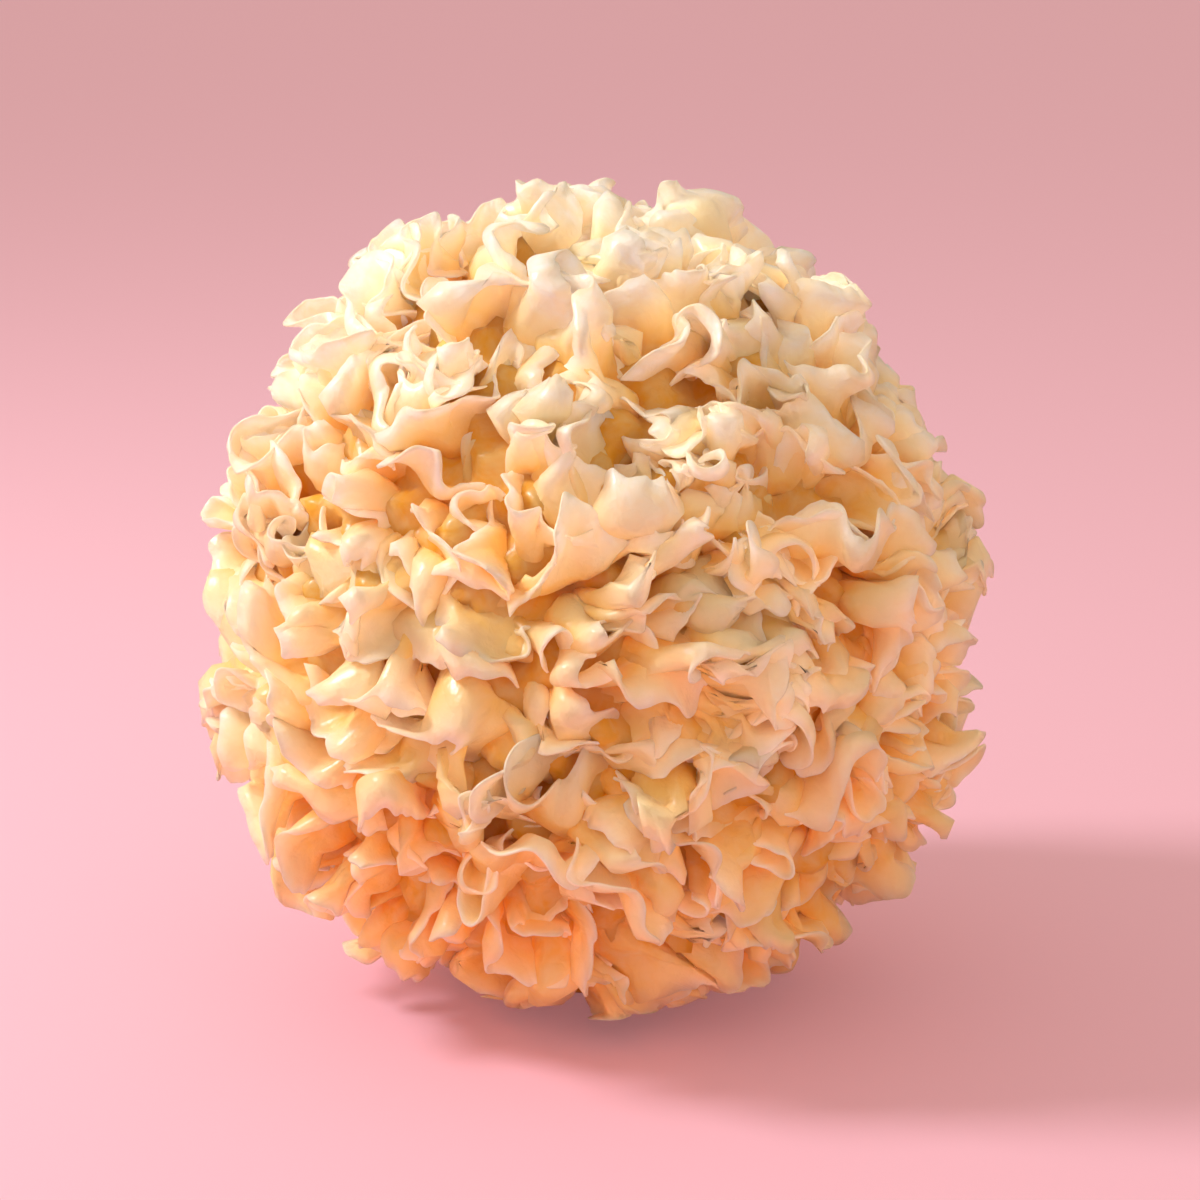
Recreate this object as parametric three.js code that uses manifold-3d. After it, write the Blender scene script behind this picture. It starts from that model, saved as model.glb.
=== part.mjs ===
// A head of snow fungus: one gelatinous fruiting body, grown as a single piece.
// Ruffled fronds fan out all round a dense heart, down to the flat face where the head was cut from its bed.
// Units are millimetres and +Z is up. The origin is the centre of the cut face, on the plane that the head rests on.
import * as THREE from "three";
import { mergeVertices } from "three/addons/utils/BufferGeometryUtils.js";
import Module from "manifold-3d";

const wasm = await Module();
wasm.setup();

// Driving dimensions of the head.
const HALF_WIDTH = 57.5; // mean reach of the frond rims, sideways
const HALF_HEIGHT = 62.5; // mean reach of the frond rims, up and down
const CENTRE_HEIGHT = 61; // the cut face takes off the lowest rims
const LOWER_SQUARENESS = 2.25; // 2 is a plain ellipsoid
const HEART_SHARE = 0.82; // size of the dense heart, as a share of the reach
const HOLDFAST_RADIUS = 14; // the tough foot that was cut through
const HOLDFAST_SPREAD = 30; // its radius where it runs into the heart
const HOLDFAST_HEIGHT = 24;
const HOLDFAST_SIDES = 25; // an odd number, so no facet edge crosses the middle of the cut face
const CUT_ALLOWANCE = 1; // how far the holdfast runs past the cut before it is made

// Driving dimensions of the fronds.
const FROND_COUNT = 194;
const FROND_WIDTH = 16.5; // along the rim
const ROOT_WIDTH = 10.5; // along the heart
const ROOT_DEPTH = 4; // how far a root is sunk in the heart
const ROOT_THICKNESS = 3.2;
const RIM_THICKNESS = 1.6;
const SHOULDER = 6; // how much lower the two ends of a rim are than its middle
const RIM_VARIATION = 2.4; // how far lobes and notches leave the mean reach
const SCATTER = 1.5; // how far a frond's root is from an even spread
const TURN = 0.7; // radians that a rim is turned from square to its lean
const LEAN = 5; // how far a rim leans over from its root, whichever way
const DROOP = 8; // and how far it leans up above the middle of the head, or down below it
const CUP = 2.5; // how far the two ends of a rim curl round
const RUFFLE = 2; // sideways waves along a rim
const COLUMNS = 4; // points along a rim

const LEAN_RIPPLES = 7;
const TURN_RIPPLES = 16;
const RUFFLE_RIPPLES = 30;
const LOBE_RIPPLES = 24;
const WAVE_COUNT = 23; // plane waves summed in each pattern
const WAVE_CREST = 1.5; // the sum's usual height, in root mean squares
const SEED_SHIFT = 0.37;
const HEART_DETAIL = 4;
const MERGE_DISTANCE = 1e-4;
const SMALLEST_DETAIL = 0.15; // slivers finer than this are smoothed away where walls meet
const GOLDEN_ANGLE = Math.PI * (3 - Math.sqrt(5));
const GOLDEN_RATIO = (1 + Math.sqrt(5)) / 2;

// The i-th of count directions spread evenly over the sphere.
function evenDirection(i, count) {
  const height = 1 - (2 * i + 1) / count;
  const radius = Math.sqrt(1 - height * height);
  return new THREE.Vector3(
    radius * Math.cos(i * GOLDEN_ANGLE),
    radius * Math.sin(i * GOLDEN_ANGLE),
    height,
  );
}

// A smooth irregular function of direction, near -1 to 1: a sum of plane waves that share one wavelength.
function makeRipples(ripples, seed) {
  const waves = Array.from({ length: WAVE_COUNT }, (_, i) => ({
    vector: evenDirection(i, WAVE_COUNT).multiplyScalar(ripples),
    phase: 2 * Math.PI * (((i + 1) * (GOLDEN_RATIO + SEED_SHIFT * seed)) % 1),
  }));
  const scale = Math.sqrt(2 / WAVE_COUNT) / WAVE_CREST;
  return (direction) =>
    scale * waves.reduce((sum, w) => sum + Math.cos(w.vector.dot(direction) + w.phase), 0);
}

const lobes = makeRipples(LOBE_RIPPLES, 1);
const ruffles = makeRipples(RUFFLE_RIPPLES, 2);
const turns = makeRipples(TURN_RIPPLES, 3);
const leans = [4, 5, 6].map((seed) => makeRipples(LEAN_RIPPLES, seed));
const scatters = [7, 8, 9].map((seed) => makeRipples(RUFFLE_RIPPLES, seed));

// Distance from the middle of the head to its mean outline, which is a little squarer below the middle.
function reach(direction) {
  const power = direction.z < 0 ? LOWER_SQUARENESS : 2;
  const across = Math.hypot(direction.x, direction.y) / HALF_WIDTH;
  const upright = Math.abs(direction.z) / HALF_HEIGHT;
  return Math.pow(Math.pow(across, power) + Math.pow(upright, power), -1 / power);
}

function vectorAt(patterns, direction) {
  return new THREE.Vector3(...patterns.map((ripples) => ripples(direction)));
}

// The way and the distance that a rim leans, square to the direction it grows in.
function leanAt(direction) {
  const lean = vectorAt(leans, direction).multiplyScalar(LEAN);
  lean.z += DROOP * Math.sin((direction.z * Math.PI) / 2);
  return lean.addScaledVector(direction, -lean.dot(direction));
}

// One frond as a closed wall: each column has a root and a rim, on both faces.
function frond(i) {
  const even = evenDirection(i, FROND_COUNT);
  const direction = even.addScaledVector(vectorAt(scatters, even), SCATTER / HALF_WIDTH).normalize();
  const lean = leanAt(direction);
  const along = new THREE.Vector3()
    .crossVectors(lean, direction)
    .normalize()
    .applyAxisAngle(direction, TURN * turns(direction));
  const across = new THREE.Vector3().crossVectors(direction, along);
  const positions = [];
  for (let c = 0; c < COLUMNS; c += 1) {
    const t = (2 * c) / (COLUMNS - 1) - 1;
    for (const side of [1, -1])
      for (const up of [0, 1]) {
        const width = THREE.MathUtils.lerp(ROOT_WIDTH, FROND_WIDTH, up);
        const thickness = THREE.MathUtils.lerp(ROOT_THICKNESS, RIM_THICKNESS, up);
        const place = direction.clone().addScaledVector(along, (t * width) / 2 / HALF_WIDTH).normalize();
        const rim = reach(place) + RIM_VARIATION * lobes(place) - SHOULDER * t * t;
        const root = reach(place) * HEART_SHARE - ROOT_DEPTH;
        const sideways = (side * thickness) / 2 - CUP * t * t + up * RUFFLE * ruffles(place);
        const point = place
          .multiplyScalar(THREE.MathUtils.lerp(root, rim, up))
          .addScaledVector(lean, up)
          .addScaledVector(across, sideways);
        positions.push(point.x, point.y, point.z + CENTRE_HEIGHT);
      }
  }

  const around = 4;
  const ring = [0, 1, 3, 2]; // root and rim on one face, then back down the other
  const triangles = [];
  for (let c = 0; c + 1 < COLUMNS; c += 1)
    ring.forEach((from, k) => {
      const to = ring[(k + 1) % around];
      const [a, b] = [c * around + from, c * around + to];
      triangles.push(a, b, b + around, a, b + around, a + around);
    });
  const last = (COLUMNS - 1) * around;
  triangles.push(0, 2, 3, 0, 3, 1, last, last + 3, last + 2, last, last + 1, last + 3);
  return new wasm.Manifold(
    new wasm.Mesh({
      numProp: 3,
      vertProperties: new Float32Array(positions),
      triVerts: new Uint32Array(triangles),
    }),
  );
}

// A three.js geometry as a solid for joining and cutting.
function solid(geometry) {
  geometry.deleteAttribute("normal");
  geometry.deleteAttribute("uv");
  const merged = mergeVertices(geometry, MERGE_DISTANCE);
  return new wasm.Manifold(
    new wasm.Mesh({
      numProp: 3,
      vertProperties: merged.getAttribute("position").array,
      triVerts: new Uint32Array(merged.index.array),
    }),
  );
}

// The dense heart that the fronds grow from, with the holdfast that runs down to the cut face.
function heart() {
  const ball = new THREE.IcosahedronGeometry(1, HEART_DETAIL)
    .scale(HALF_WIDTH * HEART_SHARE, HALF_WIDTH * HEART_SHARE, HALF_HEIGHT * HEART_SHARE)
    .translate(0, 0, CENTRE_HEIGHT);
  const holdfast = new THREE.CylinderGeometry(HOLDFAST_SPREAD, HOLDFAST_RADIUS, HOLDFAST_HEIGHT, HOLDFAST_SIDES)
    .rotateX(Math.PI / 2)
    .translate(0, 0, HOLDFAST_HEIGHT / 2 - CUT_ALLOWANCE);
  return solid(ball).add(solid(holdfast));
}

// Everything below the resting plane, which the cut takes away.
function belowCut() {
  const size = 4 * HALF_WIDTH;
  return solid(new THREE.BoxGeometry(size, size, size).translate(0, 0, -size / 2));
}

function fruitingBody() {
  const fronds = Array.from({ length: FROND_COUNT }, (_, i) => frond(i));
  const joined = fronds.reduce((body, one) => body.add(one), heart());
  const whole = joined.subtract(belowCut()).simplify(SMALLEST_DETAIL);
  const pieces = whole.decompose().sort((a, b) => b.volume() - a.volume());
  const made = pieces[0].getMesh();
  return new THREE.BufferGeometry()
    .setAttribute("position", new THREE.BufferAttribute(made.vertProperties, made.numProp))
    .setIndex(new THREE.BufferAttribute(made.triVerts, 1));
}

const tissue = new THREE.MeshStandardMaterial({ color: 0xf0cb9c, roughness: 0.38, metalness: 0 });
const body = new THREE.Mesh(fruitingBody(), tissue);
body.name = "fruiting_body";
body.geometry.computeVertexNormals();

const head = new THREE.Group();
head.add(body);

export default head;
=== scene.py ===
"""A head of snow fungus: ruffled, translucent fronds packed round a dense heart, standing on its cut face.

Lengths in the growing code are millimetres from the middle of the head; add_piece turns them into metres.
"""
import math

import bmesh
import bpy
import numpy as np
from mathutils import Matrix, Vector


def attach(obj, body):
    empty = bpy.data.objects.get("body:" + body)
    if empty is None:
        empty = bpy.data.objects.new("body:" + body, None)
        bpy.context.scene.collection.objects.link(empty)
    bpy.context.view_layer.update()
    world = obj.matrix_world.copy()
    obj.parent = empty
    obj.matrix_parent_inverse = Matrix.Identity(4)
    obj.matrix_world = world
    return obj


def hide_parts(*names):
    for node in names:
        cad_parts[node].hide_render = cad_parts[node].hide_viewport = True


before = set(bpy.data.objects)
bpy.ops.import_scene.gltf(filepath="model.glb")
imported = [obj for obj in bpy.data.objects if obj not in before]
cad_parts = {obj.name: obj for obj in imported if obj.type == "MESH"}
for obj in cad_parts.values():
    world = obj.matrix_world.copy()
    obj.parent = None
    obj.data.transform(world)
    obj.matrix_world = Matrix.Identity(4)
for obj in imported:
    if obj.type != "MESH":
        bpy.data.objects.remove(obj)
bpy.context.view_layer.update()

MM = 0.001

# The head: its mean outline, its dense heart and the foot that it was cut from.
HALF_WIDTH = 58.5
HALF_HEIGHT = 62.5
LOWER_HALF_HEIGHT = 59.0
CENTRE_HEIGHT = 61.0  # above the face that the head stands on
LOWER_SQUARENESS = 2.5  # 2 is a plain ellipsoid
HEART_SHARE = 0.87  # size of the heart, as a share of the mean outline
HEART_LUMPS = ((1.4, 6), (0.6, 3))  # height and width of its lumps
FOOT_EDGE = 0.975  # how steeply down the foot's directions point: 1 is straight down
FOOT_BLEND = 0.02
FOOT_LENGTH = 0.3  # how much longer than the heart's reach the foot is, before it is pressed flat
HOLDFAST_RADIUS = 14.0
UNDERSIDE_SLOPE = 0.25  # how fast the underside clears the ground away from the foot
PRESS = 1.2  # how softly low fronds are pressed up

# Where the fronds stand: on the contour lines of a wavy pattern.
LINE_WAVE = 13.5
LINE_TILT = 0.75
LINE_LEVEL = 1.45  # lines are taken at this level above and below zero, and at zero
LINE_STEP = 0.35
LINE_SMOOTHING = 6
SHORTEST_LINE = 11.0
FROND_LENGTH = 12.0
FROND_OVERLAP = 1.6
CUT_SCATTER = 0.28  # how far a cut between fronds strays, as a share of a frond
LONE_FROND_SHARE = 0.65  # how much of a short closed line its single frond takes up, so that it stays open
SHORTEST_FROND = 10  # steps of a line

# How each frond grows.
COLUMN_STEP = 0.51
LOWER_ROWS = np.array([0.15, 0.40, 0.60])
UPPER_ROWS = np.array([0.77, 0.90, 1.0])
ROWS = np.concatenate([LOWER_ROWS, UPPER_ROWS])
ROOT_DEPTH = 0.06  # how far a root is sunk in the heart
RIM_BASE = 0.81  # reach of a frond's two ends, as a share of the mean outline
RIM_RISE = 0.16  # how much further its middle reaches
RIM_LOBES = 1.6
OWN_LEAN = 1.6
OWN_REACH = 0.022
LEAN = 9.0
LEVEL_LEAN = 0.55  # share of the lean that is left where fronds lean sideways
LEAN_CURVE = 2.3
SWING_WIDE = 2.8
SWING_MID = 1.4
PARTING_HEIGHT = 22.0  # fronds lean up above this height over the middle of the head, and down below it
PARTING_WIDTH = 24.0
PARTING_STRAY = 0.7
FLARE = 2.0  # how far the two ends of a rim spread
WAVE_WIDE = 2.5
WAVE_MID = 2.3
WAVE_FINE = 0.45
CRINKLE = 0.05
WIDE_LOBES = (1.7, 7.0, 0.35)  # height, width, and how far up the frond they start
MID_LOBES = (1.1, 3.8, 0.6)
FINE_LOBES = (0.95, 3.0, 0.8)
LOBE_NOTCH = 0.03  # how blunt the notches between lobes are
LOBE_MEAN = 0.62
HELD_SHARE = 0.96  # from this share of the mean outline, rims are held in
HELD_ROOM = 0.13
ROOT_HALF_THICKNESS = 0.65
RIM_HALF_THICKNESS = 0.30
RIM_TAPER = 0.6
END_TAPER = 4  # columns

# How pale the tissue is painted: its own tone, with painted shade deep between the fronds and low down.
MAP_ROWS = 60
BARE_OUTLINE = 0.8
PALE_DEPTH = 0.22  # how deep below the outline the paleness gives way to painted shade, as a share of the mean outline
PALE_HEIGHT = 105  # tissue is painted yellower below this height: partly its own tone near the foot, partly painted shade and pink floor light on the lower part
# Paleness rises up each frond and towards the outline, and falls low down: partly the tissue's own tone,
# partly painted shade at the roots, deep between the fronds and on the lower part.
RIM_PALENESS = 0.62
OUTLINE_PALENESS_AND_SHADE = 0.42
LOW_AMBER_AND_SHADE = 0.42

# Its colours: a share of paleness with each, amber and palest first, then those in between. The amber is
# partly painted shade deep between the fronds.
TISSUE_AND_SHADE_COLOURS = [
    (0.12, (0.99, 0.48, 0.04)),
    (1.0, (0.98, 0.93, 0.86)),
    (0.45, (0.98, 0.66, 0.20)),
    (0.75, (0.98, 0.83, 0.51)),
]
MOTTLE_COLOUR = (0.97, 0.74, 0.36)
# The paler rim line is partly the thin tissue's own tone, partly a painted glow and sheen of light at the
# thin edge.
RIM_TONE_AND_GLOW = (0.99, 0.90, 0.70)

# The camera and the studio, in metres and degrees.
CAMERA_LENS = 100
CAMERA_TARGET = Vector((0.0014, 0, 0.0613))
CAMERA_DISTANCE = 0.515
CAMERA_ELEVATION = 14
LAMP_TARGET = Vector((0, 0, 0.06))
FLOOR_SIZE = 24
FLOOR_GLOW = 0.15

GOLDEN_ANGLE = math.pi * (3 - math.sqrt(5))


# ---------------------------------------------------------------- smooth irregular patterns

def even_directions(count):
    """So many directions spread evenly all round."""
    i = np.arange(count)
    z = 1 - (2 * i + 1) / count
    r = np.sqrt(1 - z * z)
    return np.stack([r * np.cos(i * GOLDEN_ANGLE), r * np.sin(i * GOLDEN_ANGLE), z], 1)


class Ripples:
    """A smooth irregular function of place with a spread of about 1: plane waves of nearly one length."""

    def __init__(self, wavelength, seed, count=31):
        rng = np.random.default_rng(seed)
        lengths = wavelength / rng.uniform(0.85, 1.15, count)
        self.waves = even_directions(count) * (2 * math.pi / lengths)[:, None]
        self.phases = rng.random(count) * 2 * math.pi
        self.scale = math.sqrt(2 / count)

    def __call__(self, points):
        return np.cos(points @ self.waves.T + self.phases).sum(-1) * self.scale


class RingRipples:
    """A smooth irregular function of direction: waves that each run round the head in one ring.

    The rings pass near the top and the bottom, so at the sides most crests lie level.
    """

    def __init__(self, wavelength, tilt, seed, count=150):
        rng = np.random.default_rng(seed)
        height, turn = rng.uniform(-tilt, tilt, count), rng.uniform(0, 2 * math.pi, count)
        level = np.sqrt(1 - height * height)
        axes = np.stack([level * np.cos(turn), level * np.sin(turn), height], 1)
        self.first = unit(np.cross(axes, [0, 0, 1]))
        self.second = np.cross(axes, self.first)
        self.waves = round(2 * math.pi * HALF_WIDTH / wavelength)
        self.phases = rng.random(count) * 2 * math.pi

    def __call__(self, points):
        d = unit(points)
        x, y = d @ self.first.T, d @ self.second.T
        rings = np.hypot(x, y) ** self.waves * np.cos(self.waves * np.arctan2(y, x) + self.phases)
        strength = np.sqrt((np.hypot(x, y) ** (2 * self.waves)).sum(-1) / 2)
        return rings.sum(-1) / strength


class VectorRipples:
    """Three independent Ripples as one vector."""

    def __init__(self, wavelength, seed):
        self.parts = [Ripples(wavelength, seed * 10 + k) for k in range(3)]

    def __call__(self, points):
        return np.stack([part(points) for part in self.parts], -1)


def unit(v):
    return v / np.maximum(np.linalg.norm(v, axis=-1, keepdims=True), 1e-9)


def dot(a, b):
    return (a * b).sum(-1, keepdims=True)


def reach(d):
    """Distance from the middle of the head to its mean outline in direction d."""
    across = np.hypot(d[..., 0], d[..., 1]) / HALF_WIDTH
    up = np.abs(d[..., 2]) / np.where(d[..., 2] < 0, LOWER_HALF_HEIGHT, HALF_HEIGHT)
    power = np.where(d[..., 2] < 0, LOWER_SQUARENESS, 2.0)
    return (across ** power + up ** power) ** (-1 / power)


# ---------------------------------------------------------------- where the fronds stand

def trace_lines(pattern, level):
    """The closed lines on the unit sphere where the pattern passes the level."""
    ball = bmesh.new()
    bmesh.ops.create_icosphere(ball, subdivisions=7, radius=1)
    points = np.array([v.co for v in ball.verts])
    values = pattern(points * HALF_WIDTH + lean_of(points, points * HALF_WIDTH)) - level
    crossings, links = {}, {}
    for face in ball.faces:
        met = []
        for edge in face.edges:
            a, b = edge.verts[0].index, edge.verts[1].index
            if (values[a] < 0) != (values[b] < 0):
                met.append(edge.index)
                if edge.index not in crossings:
                    share = values[a] / (values[a] - values[b])
                    crossings[edge.index] = points[a] * (1 - share) + points[b] * share
        if len(met) == 2:
            links.setdefault(met[0], []).append(met[1])
            links.setdefault(met[1], []).append(met[0])
    ball.free()
    seen, lines = set(), []
    for start in links:
        line, here = [], start
        while here is not None and here not in seen:
            seen.add(here)
            line.append(crossings[here])
            here = next((n for n in links[here] if n not in seen), None)
        if len(line) > 6:
            lines.append(unit(np.array(line)))
    return lines


def even_columns(line):
    """A closed line smoothed and stepped evenly, with its length at the outline."""
    for _ in range(LINE_SMOOTHING):
        line = unit((np.roll(line, 1, 0) + 2 * line + np.roll(line, -1, 0)) / 4)
    closed = np.vstack([line, line[:1]])
    steps = np.linalg.norm(np.diff(closed, axis=0), axis=1) * HALF_WIDTH
    along = np.concatenate([[0], np.cumsum(steps)])
    count = max(8, int(round(along[-1] / LINE_STEP)))
    at = np.linspace(0, along[-1], count, endpoint=False)
    return unit(np.stack([np.interp(at, along, closed[:, k]) for k in range(3)], 1)), along[-1]


def cut_fronds(line, length, rng):
    """A line cut into fronds that overlap a little where they meet."""
    count = len(line)
    fronds = max(1, int(round(length / FROND_LENGTH)))
    stray = rng.uniform(-CUT_SCATTER, CUT_SCATTER, fronds)
    cuts = (np.arange(fronds) + stray) / fronds * count + rng.uniform(0, count)
    cuts = np.sort(np.round(cuts).astype(int))
    last = cuts[0] + (count if fronds > 1 else int(LONE_FROND_SHARE * count))
    ends = np.append(cuts[1:], last)
    spare = int(round(FROND_OVERLAP / LINE_STEP)) if fronds > 1 else 0
    spans = [(a - spare, b + spare) for a, b in zip(cuts, ends) if b - a > SHORTEST_FROND]
    pieces = [line[np.arange(a, b) % count] for a, b in spans]
    return [(p, rng.normal(0, OWN_LEAN, 3), rng.normal(0, OWN_REACH), rng.random(3)) for p in pieces]


# ---------------------------------------------------------------- how the fronds grow

lobes_wide = Ripples(22, 2)
swing_wide = VectorRipples(46, 6)
swing_mid = VectorRipples(24, 7)
wave_wide = VectorRipples(16, 8)
wave_mid = VectorRipples(9, 9)
wave_fine = VectorRipples(5, 10)
crinkle = Ripples(2.4, 11)
parting = Ripples(60, 12)


def lean_of(columns, place):
    """The way and the distance that the rims lean: up near the top, down below, and sideways in between."""
    side = np.tanh((place[:, 2] - PARTING_HEIGHT) / PARTING_WIDTH)
    turn = math.pi / 2 * side + PARTING_STRAY * parting(place)
    up = [0, 0, 1] - columns * columns[:, 2:]
    along = np.cross(up, columns)
    lean = (up * np.sin(turn)[:, None] + along * np.cos(turn)[:, None])
    strength = LEAN * (LEVEL_LEAN + (1 - LEVEL_LEAN) * np.abs(side))
    lean *= (strength / np.maximum(np.linalg.norm(up, axis=1), 0.5))[:, None]
    lean += SWING_WIDE * swing_wide(place) + SWING_MID * swing_mid(place)
    return lean - columns * dot(lean, columns)


def rim_share(place, t):
    """How far out a rim grows, as a share of the mean outline: least at the frond's two ends."""
    fan = np.sin(math.pi * np.clip(t, 0.02, 0.98)) ** 0.7
    return RIM_BASE + RIM_RISE * fan + RIM_LOBES * lobes_wide(place) / HALF_WIDTH


def smooth(values, times):
    """Values averaged with those of the columns on each side, so many times over."""
    for _ in range(times):
        ends = np.concatenate([values[:1], values, values[-1:]])
        values = (ends[:-2] + 2 * ends[1:-1] + ends[2:]) / 4
    return values


def grow_sheet(columns, own_lean, own_reach, phases):
    """The middle surface of one frond, columns by rows: it leans, waves and ends in a lobed rim."""
    t = (np.arange(len(columns)) + 0.5) / len(columns)
    place = columns * HALF_WIDTH
    across = unit(np.cross(np.gradient(columns, axis=0), columns))[:, None]
    v = ROWS[None, :, None]
    top = rim_share(place, t)[:, None, None] + own_reach
    root = HEART_SHARE - ROOT_DEPTH
    points = columns[:, None] * reach(columns)[:, None, None] * (root + (top - root) * v)
    points = points + (lean_of(columns, place) + own_lean)[:, None] * v ** LEAN_CURVE
    points = points + across * (FLARE * (2 * t - 1))[:, None, None] * v
    wave = WAVE_WIDE * wave_wide(points) * v ** 1.2 + WAVE_MID * wave_mid(points) * v ** 1.3
    wave = wave + WAVE_FINE * wave_fine(points) * v ** 1.7
    normal = unit(smooth(np.cross(np.gradient(points, axis=0), np.gradient(points, axis=1)), 8))
    points = points + normal * dot(wave, normal) + normal * CRINKLE * crinkle(points)[..., None] * v ** 2
    points = space_columns(smooth(points, 6))
    for (height, width, start), phase in zip((WIDE_LOBES, MID_LOBES, FINE_LOBES), phases):
        points = draw_out(points, height * lobes(len(points), width, phase), start)
    return hold_in(smooth(points, 2))


def lobes(count, width, phase):
    """Rounded lobes of about this width along a rim of so many columns, uneven, with notches between them."""
    along = np.arange(count) * COLUMN_STEP / width
    turn = along + 0.3 * np.sin(along * 2.1 + 5 * phase) + phase
    height = 0.75 + 0.35 * np.sin(along * 1.3 + 9 * phase)
    return height * (np.sqrt(np.sin(math.pi * turn) ** 2 + LOBE_NOTCH) - LOBE_MEAN)


def hold_in(points):
    """Points kept from growing far past the mean outline."""
    share = np.linalg.norm(points, axis=-1) / reach(unit(points))
    held = HELD_SHARE + HELD_ROOM * np.tanh((share - HELD_SHARE) / HELD_ROOM)
    limited = np.where(share > HELD_SHARE, held, share)
    return points * (limited / share)[..., None]


def draw_out(points, by, start):
    """The sheet with its rim drawn out by so much at each column, and its rows above start with it."""
    growing = unit(smooth(points[:, -1] - points[:, -3], 12))
    share = np.clip((ROWS - start) / (1 - start), 0, 1)
    return points + growing[:, None] * by[:, None, None] * share[None, :, None]


def space_columns(sheet):
    """The sheet with an odd number of columns, evenly spaced at the rim, where folds had stretched them."""
    steps = np.linalg.norm(np.diff(sheet[:, -3:], axis=0), axis=-1).mean(1)
    along = np.concatenate([[0], np.cumsum(steps)])
    count = 2 * max(3, int(round(along[-1] / COLUMN_STEP / 2))) + 1
    at = np.linspace(0, along[-1], count)
    flat = sheet.reshape(len(sheet), -1)
    return np.stack([np.interp(at, along, flat[:, k]) for k in range(flat.shape[1])], 1).reshape(count, -1, 3)


def two_faces(sheet):
    """The sheet's two faces, thick at the root and thin at the rim and at both ends."""
    normal = unit(smooth(np.cross(np.gradient(sheet, axis=0), np.gradient(sheet, axis=1)), 2))
    t = np.arange(len(sheet))
    end = np.clip((np.minimum(t, len(sheet) - 1 - t) + 1) / END_TAPER, 0, 1)[:, None, None] ** 0.5
    half = ROOT_HALF_THICKNESS + (RIM_HALF_THICKNESS - ROOT_HALF_THICKNESS) * ROWS ** 1.5
    half[-1] *= RIM_TAPER
    offset = normal * half[None, :, None] * end
    return sheet + offset, sheet - offset


def grid_faces(index):
    """The quads of a grid of point numbers, columns by rows."""
    return np.stack([index[:-1, :-1], index[1:, :-1], index[1:, 1:], index[:-1, 1:]], -1).reshape(-1, 4)


def wall_faces(lower, upper):
    """One face of a frond: half as many columns in its lower rows as in its upper ones."""
    a, b = lower[:-1, -1], lower[1:, -1]
    left, middle, right = upper[:-2:2, 0], upper[1:-1:2, 0], upper[2::2, 0]
    joins = [(a, middle, left), (a, b, middle), (b, right, middle)]
    quads = np.concatenate([grid_faces(lower), grid_faces(upper)])
    return quads, np.concatenate([np.stack(j, -1) for j in joins])


def frond_faces(count, base):
    """The quads and triangles of a closed frond whose points are numbered face by face from base."""
    half = count // 2 + 1
    per_lower, per_upper = half * len(LOWER_ROWS), count * len(UPPER_ROWS)
    sides = []
    for start in (base, base + per_lower + per_upper):
        lower = start + np.arange(per_lower).reshape(half, -1)
        sides.append((lower, start + per_lower + np.arange(per_upper).reshape(count, -1)))
    (lower, upper), (lower_back, upper_back) = sides
    quads, joins = wall_faces(lower, upper)
    quads_back, joins_back = wall_faces(lower_back, upper_back)
    rim = grid_faces(np.stack([upper[:, -1], upper_back[:, -1]], 1))
    root = grid_faces(np.stack([lower_back[:, 0], lower[:, 0]], 1))
    ends = []
    for at, turn in ((0, 1), (-1, -1)):
        front = np.concatenate([lower[at], upper[at]])
        back = np.concatenate([lower_back[at], upper_back[at]])
        ends.append(grid_faces(np.stack([back, front], 0)[::turn]))
    quads = np.concatenate([quads, quads_back[:, ::-1], rim, root, *ends])
    return quads, np.concatenate([joins, joins_back[:, ::-1]])


def settle(points):
    """Points lifted to stand on the cut face, and pressed up where they would hang too low."""
    points = points.copy()
    points[:, 2] += CENTRE_HEIGHT
    away = np.hypot(points[:, 0], points[:, 1]) - HOLDFAST_RADIUS
    lowest = UNDERSIDE_SLOPE * np.maximum(away, 0)
    above = (points[:, 2] - lowest) / PRESS
    points[:, 2] = lowest + PRESS * np.logaddexp(0, above)
    return points


def add_piece(name, mesh, paleness_and_shade, rim):
    """The mesh as a piece of the head, with how pale each point is painted, painted shade included, and how
    near a rim it is.
    """
    mesh.shade_smooth()
    for attribute, values in (("paleness_and_shade", paleness_and_shade), ("rim", rim)):
        mesh.attributes.new(attribute, "FLOAT", "POINT").data.foreach_set("value", values.astype(np.float32))
    piece = bpy.data.objects.new(name, mesh)
    bpy.context.scene.collection.objects.link(piece)
    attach(piece, "root")
    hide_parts("fruiting_body")
    return piece


def frond_mesh(name, points, quads, triangles):
    mesh = bpy.data.meshes.new(name)
    mesh.vertices.add(len(points))
    mesh.vertices.foreach_set("co", (points * MM).astype(np.float32).ravel())
    corners = np.concatenate([quads.ravel(), triangles.ravel()]).astype(np.int32)
    totals = np.concatenate([np.full(len(quads), 4), np.full(len(triangles), 3)]).astype(np.int32)
    starts = np.concatenate([[0], np.cumsum(totals)[:-1]]).astype(np.int32)
    mesh.loops.add(len(corners))
    mesh.loops.foreach_set("vertex_index", corners)
    mesh.polygons.add(len(totals))
    mesh.polygons.foreach_set("loop_start", starts)
    mesh.polygons.foreach_set("loop_total", totals)
    mesh.update(calc_edges=True)
    return mesh


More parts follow.
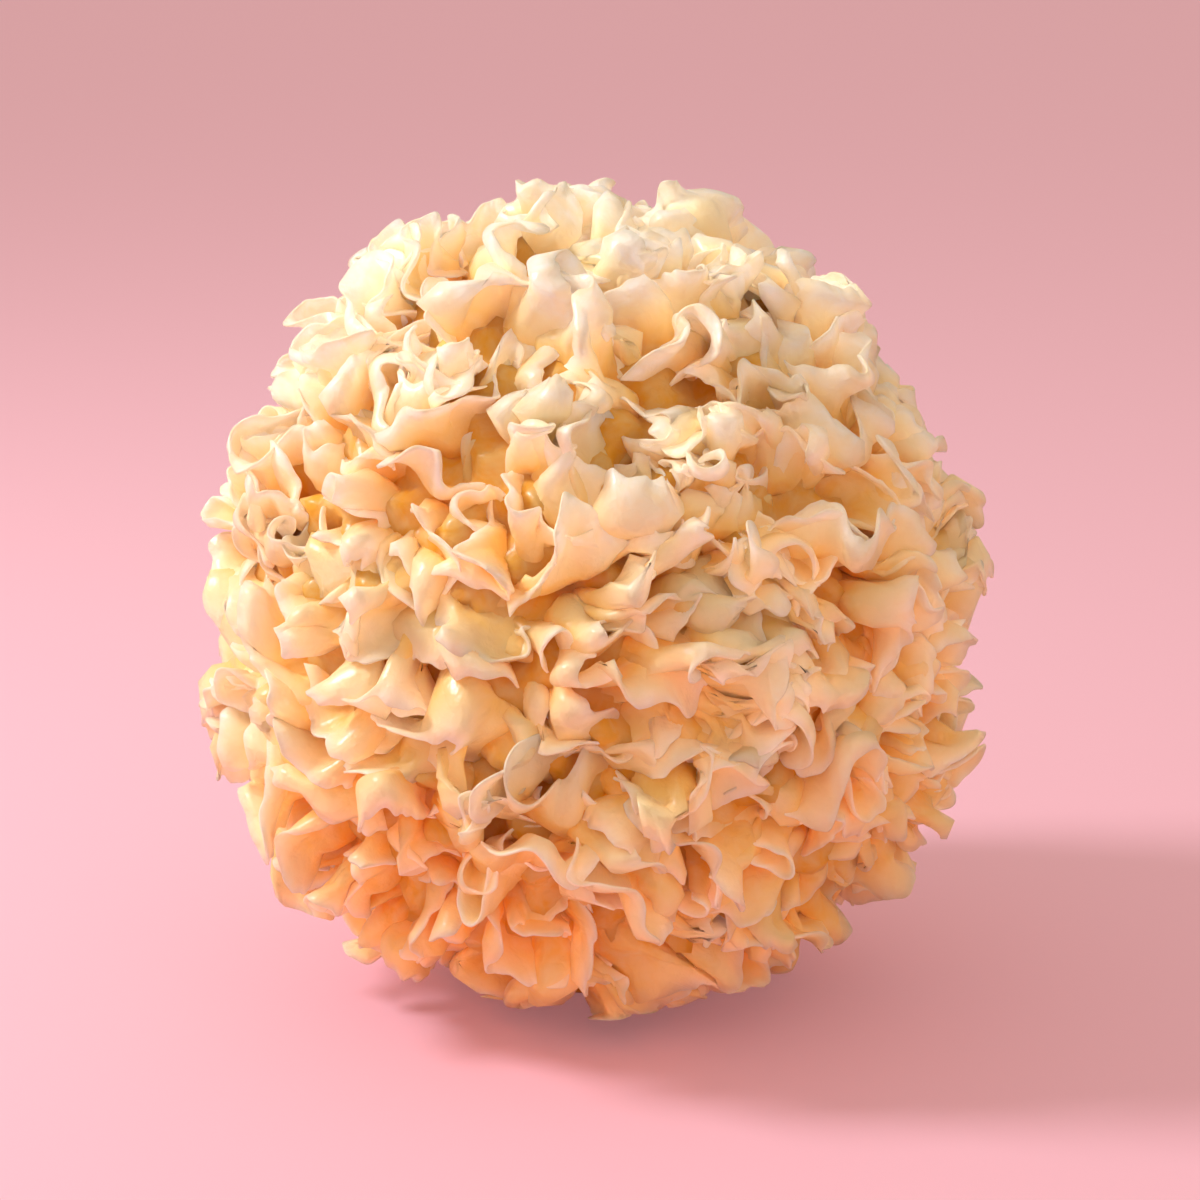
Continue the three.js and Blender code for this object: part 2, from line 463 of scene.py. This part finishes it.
def grow_fronds(fronds):
    """The points, quads, triangles and growth of so many closed fronds."""
    points, quads, triangles, growth, base = [], [], [], [], 0
    lower_rows = len(LOWER_ROWS)
    for frond in fronds:
        sheet = grow_sheet(*frond)
        rows = np.broadcast_to(ROWS[:, None], (*sheet.shape[:2], 1))
        for face in two_faces(sheet):
            both = np.concatenate([face, rows], -1)
            lower, upper = both[::2, :lower_rows], both[:, lower_rows:]
            part = np.concatenate([lower.reshape(-1, 4), upper.reshape(-1, 4)])
            points.append(part[:, :3])
            growth.append(part[:, 3])
        q, t = frond_faces(len(sheet), base)
        quads.append(q)
        triangles.append(t)
        base += 2 * len(part)
    return [np.concatenate(a) for a in (points, quads, triangles, growth)]


def cells_of(points):
    """The row and the column of each point in an even map of directions."""
    d = unit(points)
    row = np.clip(((1 - d[:, 2]) / 2 * MAP_ROWS).astype(int), 0, MAP_ROWS - 1)
    column = ((np.arctan2(d[:, 1], d[:, 0]) / (2 * math.pi) % 1) * 2 * MAP_ROWS).astype(int) % (2 * MAP_ROWS)
    return row, column


def outline_map(points):
    """How far out the fronds reach in each direction, as a share of the mean outline."""
    share = np.linalg.norm(points, axis=-1) / reach(unit(points))
    outline = np.full((MAP_ROWS, 2 * MAP_ROWS), BARE_OUTLINE)
    np.maximum.at(outline, cells_of(points), share)
    for _ in range(4):
        outline = (np.roll(outline, 1, 1) + 2 * outline + np.roll(outline, -1, 1)) / 4
        ends = np.concatenate([outline[:1], outline, outline[-1:]])
        outline = (ends[:-2] + 2 * outline + ends[2:]) / 4
    return outline


def paleness_and_shade_of(points, growth, outline):
    """How pale the tissue is painted: palest at the rims and the outline, amber deep down and near the cut
    face. The amber is partly the tissue's own tone and partly painted shade between the fronds and on the
    lower part.
    """
    share = np.linalg.norm(points, axis=-1) / reach(unit(points))
    # painted shade: amber where a point lies deep below the outline of the fronds
    outer = np.clip(1 - (outline[cells_of(points)] - share) / PALE_DEPTH, 0, 1)
    # painted yellower low down: partly the tissue's own tone, partly painted shade and floor light
    low = np.clip(1 - (points[:, 2] + CENTRE_HEIGHT) / PALE_HEIGHT, 0, 1)
    return np.clip(RIM_PALENESS * growth ** 2 + OUTLINE_PALENESS_AND_SHADE * outer - LOW_AMBER_AND_SHADE * low, 0, 1)


def heart_piece():
    """The lumpy amber heart that shows between the fronds, drawn out below into the foot."""
    ball = bmesh.new()
    bmesh.ops.create_icosphere(ball, subdivisions=6, radius=1)
    d = unit(np.array([v.co for v in ball.verts]))
    corners = [[v.index for v in f.verts] for f in ball.faces]
    ball.free()
    (high, wide), (low, narrow) = HEART_LUMPS
    lumps = high * Ripples(wide, 20)(d * 40) + low * Ripples(narrow, 21)(d * 40)
    points = d * (reach(d) * HEART_SHARE + lumps)[:, None]
    points *= (1 + FOOT_LENGTH * np.clip((-FOOT_EDGE - d[:, 2]) / FOOT_BLEND, 0, 1))[:, None]
    mesh = bpy.data.meshes.new("heart")
    mesh.from_pydata((settle(points) * MM).tolist(), [], corners)
    # no paleness: the heart takes the full amber, which is partly painted shade
    none = np.zeros(len(points))
    return add_piece("heart", mesh, none, none)


# ---------------------------------------------------------------- finishes

def tissue_detail():
    """Mottling, faint wrinkles and uneven wetness, the same in all the tissue."""
    group = bpy.data.node_groups.new("tissue_detail", "ShaderNodeTree")
    face = group.interface
    face.new_socket("Colour", in_out="INPUT", socket_type="NodeSocketColor")
    face.new_socket("Mottle Colour", in_out="INPUT", socket_type="NodeSocketColor")
    face.new_socket("Colour", in_out="OUTPUT", socket_type="NodeSocketColor")
    face.new_socket("Roughness", in_out="OUTPUT", socket_type="NodeSocketFloat")
    face.new_socket("Height", in_out="OUTPUT", socket_type="NodeSocketFloat")
    nodes, links = group.nodes, group.links
    given, made = nodes.new("NodeGroupInput"), nodes.new("NodeGroupOutput")
    place = nodes.new("ShaderNodeTexCoord")

    def noise(scale, detail, distortion=0.0):
        n = nodes.new("ShaderNodeTexNoise")
        n.inputs["Scale"].default_value = scale
        n.inputs["Detail"].default_value = detail
        n.inputs["Distortion"].default_value = distortion
        links.new(place.outputs["Object"], n.inputs["Vector"])
        return n.outputs["Fac"]

    def spread(value, low, high, to_low, to_high):
        m = nodes.new("ShaderNodeMapRange")
        for name, number in (("From Min", low), ("From Max", high), ("To Min", to_low), ("To Max", to_high)):
            m.inputs[name].default_value = number
        links.new(value, m.inputs["Value"])
        return m.outputs["Result"]

    mottle = nodes.new("ShaderNodeMix")
    mottle.data_type = "RGBA"
    links.new(spread(noise(260, 3, 0.6), 0.35, 0.68, 0, 0.55), mottle.inputs["Factor"])
    links.new(given.outputs["Colour"], mottle.inputs["A"])
    links.new(given.outputs["Mottle Colour"], mottle.inputs["B"])
    links.new(mottle.outputs["Result"], made.inputs["Colour"])
    links.new(spread(noise(90, 2), 0.3, 0.7, 0.26, 0.48), made.inputs["Roughness"])
    links.new(noise(330, 3, 0.4), made.inputs["Height"])
    return group


def tissue(name, detail, stops, mottle_colour, rim_tone_and_glow):
    """Soft wet tissue, coloured by how pale it is painted, painted shade included, from a list of shares of
    paleness and colours, with a paler rim line that is partly a painted edge glow.
    """
    m = bpy.data.materials.new(name)
    m.use_nodes = True
    nodes, links = m.node_tree.nodes, m.node_tree.links
    skin = nodes["Principled BSDF"]
    # the paleness attribute carries painted shade: amber deep between the fronds and low down
    paleness_and_shade = nodes.new("ShaderNodeAttribute")
    paleness_and_shade.attribute_name = "paleness_and_shade"
    ramp = nodes.new("ShaderNodeValToRGB")
    for element, (position, colour) in zip([*ramp.color_ramp.elements, *[None] * (len(stops) - 2)], stops):
        element = element or ramp.color_ramp.elements.new(position)
        element.position, element.color = position, (*colour, 1)
    links.new(paleness_and_shade.outputs["Fac"], ramp.inputs["Fac"])
    # a paler line along the rims: partly the thin tissue's own tone, partly a painted edge glow and sheen
    rim = nodes.new("ShaderNodeAttribute")
    rim.attribute_name = "rim"
    narrow = nodes.new("ShaderNodeMath")
    narrow.operation = "POWER"
    narrow.inputs[1].default_value = 3
    links.new(rim.outputs["Fac"], narrow.inputs[0])
    edged = nodes.new("ShaderNodeMix")
    edged.data_type = "RGBA"
    edged.inputs["B"].default_value = (*rim_tone_and_glow, 1)
    links.new(narrow.outputs["Value"], edged.inputs["Factor"])
    links.new(ramp.outputs["Color"], edged.inputs["A"])
    look = nodes.new("ShaderNodeGroup")
    look.node_tree = detail
    look.inputs["Mottle Colour"].default_value = (*mottle_colour, 1)
    links.new(edged.outputs["Result"], look.inputs["Colour"])
    links.new(look.outputs["Colour"], skin.inputs["Base Color"])
    links.new(look.outputs["Roughness"], skin.inputs["Roughness"])
    bump = nodes.new("ShaderNodeBump")
    bump.inputs["Strength"].default_value = 0.6
    bump.inputs["Distance"].default_value = 0.0008
    links.new(look.outputs["Height"], bump.inputs["Height"])
    links.new(bump.outputs["Normal"], skin.inputs["Normal"])
    skin.subsurface_method = "BURLEY"
    skin.inputs["Subsurface Weight"].default_value = 0.32
    skin.inputs["Subsurface Radius"].default_value = (0.5, 0.62, 1.0)
    skin.inputs["Subsurface Scale"].default_value = 0.020
    skin.inputs["IOR"].default_value = 1.42
    skin.inputs["Specular IOR Level"].default_value = 0.35
    skin.inputs["Coat Weight"].default_value = 0.25
    skin.inputs["Coat Roughness"].default_value = 0.18
    return m


def plain(name, colour, roughness):
    """A plain finish in one colour."""
    m = bpy.data.materials.new(name)
    m.use_nodes = True
    m.node_tree.nodes["Principled BSDF"].inputs["Base Color"].default_value = (*colour, 1)
    m.node_tree.nodes["Principled BSDF"].inputs["Roughness"].default_value = roughness
    return m


# ---------------------------------------------------------------- camera, lights and floor

def add_camera():
    """A long lens a little above the head, level with its front."""
    lens = bpy.data.cameras.new("camera")
    lens.lens = CAMERA_LENS
    camera = bpy.data.objects.new("camera", lens)
    bpy.context.scene.collection.objects.link(camera)
    elevation = math.radians(CAMERA_ELEVATION)
    away = Vector((0, -math.cos(elevation), math.sin(elevation)))
    camera.location = CAMERA_TARGET + away * CAMERA_DISTANCE
    camera.rotation_euler = (CAMERA_TARGET - camera.location).to_track_quat("-Z", "Y").to_euler()
    bpy.context.scene.camera = camera


def add_lamp(name, place, size, power, colour):
    """A round soft lamp that faces the head."""
    lamp = bpy.data.lights.new(name, "AREA")
    lamp.shape = "DISK"
    lamp.size = size
    lamp.energy = power
    lamp.color = colour
    stand = bpy.data.objects.new(name, lamp)
    stand.location = place
    stand.rotation_euler = (LAMP_TARGET - Vector(place)).to_track_quat("-Z", "Y").to_euler()
    bpy.context.scene.collection.objects.link(stand)


def add_studio():
    """Pink paper underfoot, plain light all round, a soft key from the left and a weak warm fill.

    The paper is a little brighter to the camera than to the head, so it tints the head less.
    """
    bpy.ops.mesh.primitive_plane_add(size=FLOOR_SIZE)
    floor = bpy.context.object
    floor.name = "floor"
    paper = plain("floor_paper", (0.92, 0.48, 0.54), 0.85)
    seen = paper.node_tree.nodes.new("ShaderNodeLightPath")
    glow = paper.node_tree.nodes.new("ShaderNodeMath")
    glow.operation = "MULTIPLY"
    glow.inputs[1].default_value = FLOOR_GLOW
    skin = paper.node_tree.nodes["Principled BSDF"]
    skin.inputs["Emission Color"].default_value = (1, 0.58, 0.64, 1)
    paper.node_tree.links.new(seen.outputs["Is Camera Ray"], glow.inputs[0])
    paper.node_tree.links.new(glow.outputs["Value"], skin.inputs["Emission Strength"])
    floor.data.materials.append(paper)
    world = bpy.data.worlds.new("studio")
    bpy.context.scene.world = world
    world.use_nodes = True
    world.node_tree.nodes["Background"].inputs["Color"].default_value = (1, 0.89, 0.80, 1)
    world.node_tree.nodes["Background"].inputs["Strength"].default_value = 0.58
    add_lamp("key_lamp", (-0.55, -0.04, 0.56), 0.20, 3.9, (0.85, 0.89, 1))
    add_lamp("fill_lamp", (0.45, -0.65, 0.30), 0.5, 0.2, (1, 0.85, 0.70))


add_camera()
rng = np.random.default_rng(7)
pattern = RingRipples(LINE_WAVE, LINE_TILT, 1)
fronds = []
for level in (0, LINE_LEVEL, -LINE_LEVEL):
    for line in trace_lines(pattern, level):
        line, length = even_columns(line)
        if length > SHORTEST_LINE:
            fronds += cut_fronds(line, length, rng)
heights = np.array([f[0].mean(0)[2] for f in fronds])
order = np.argsort(-heights)
share = np.cumsum([len(fronds[i][0]) for i in order])
names = ["fronds_crown", "fronds_shoulder", "fronds_middle", "fronds_skirt", "fronds_base"]
bands = (share * len(names) // (share[-1] + 1)).astype(int)
grown = [grow_fronds([fronds[i] for i in order[bands == k]]) for k in range(len(names))]
outline = outline_map(np.concatenate([points for points, *_ in grown]))
pieces = []
for name, (points, quads, triangles, growth) in zip(names, grown):
    # paleness with painted shade deep between the fronds and low down
    paleness_and_shade = paleness_and_shade_of(points, growth, outline)
    mesh = frond_mesh(name, settle(points), quads, triangles)
    pieces.append(add_piece(name, mesh, paleness_and_shade, growth >= 1))
pieces.append(heart_piece())
detail = tissue_detail()
frond_tissue = tissue("frond_tissue", detail, TISSUE_AND_SHADE_COLOURS, MOTTLE_COLOUR, RIM_TONE_AND_GLOW)
for piece in pieces:
    piece.data.materials.append(frond_tissue)
add_studio()
bpy.context.scene.view_settings.view_transform = "Standard"
bpy.context.scene.cycles.diffuse_bounces = 8  # light glows deep between the fronds
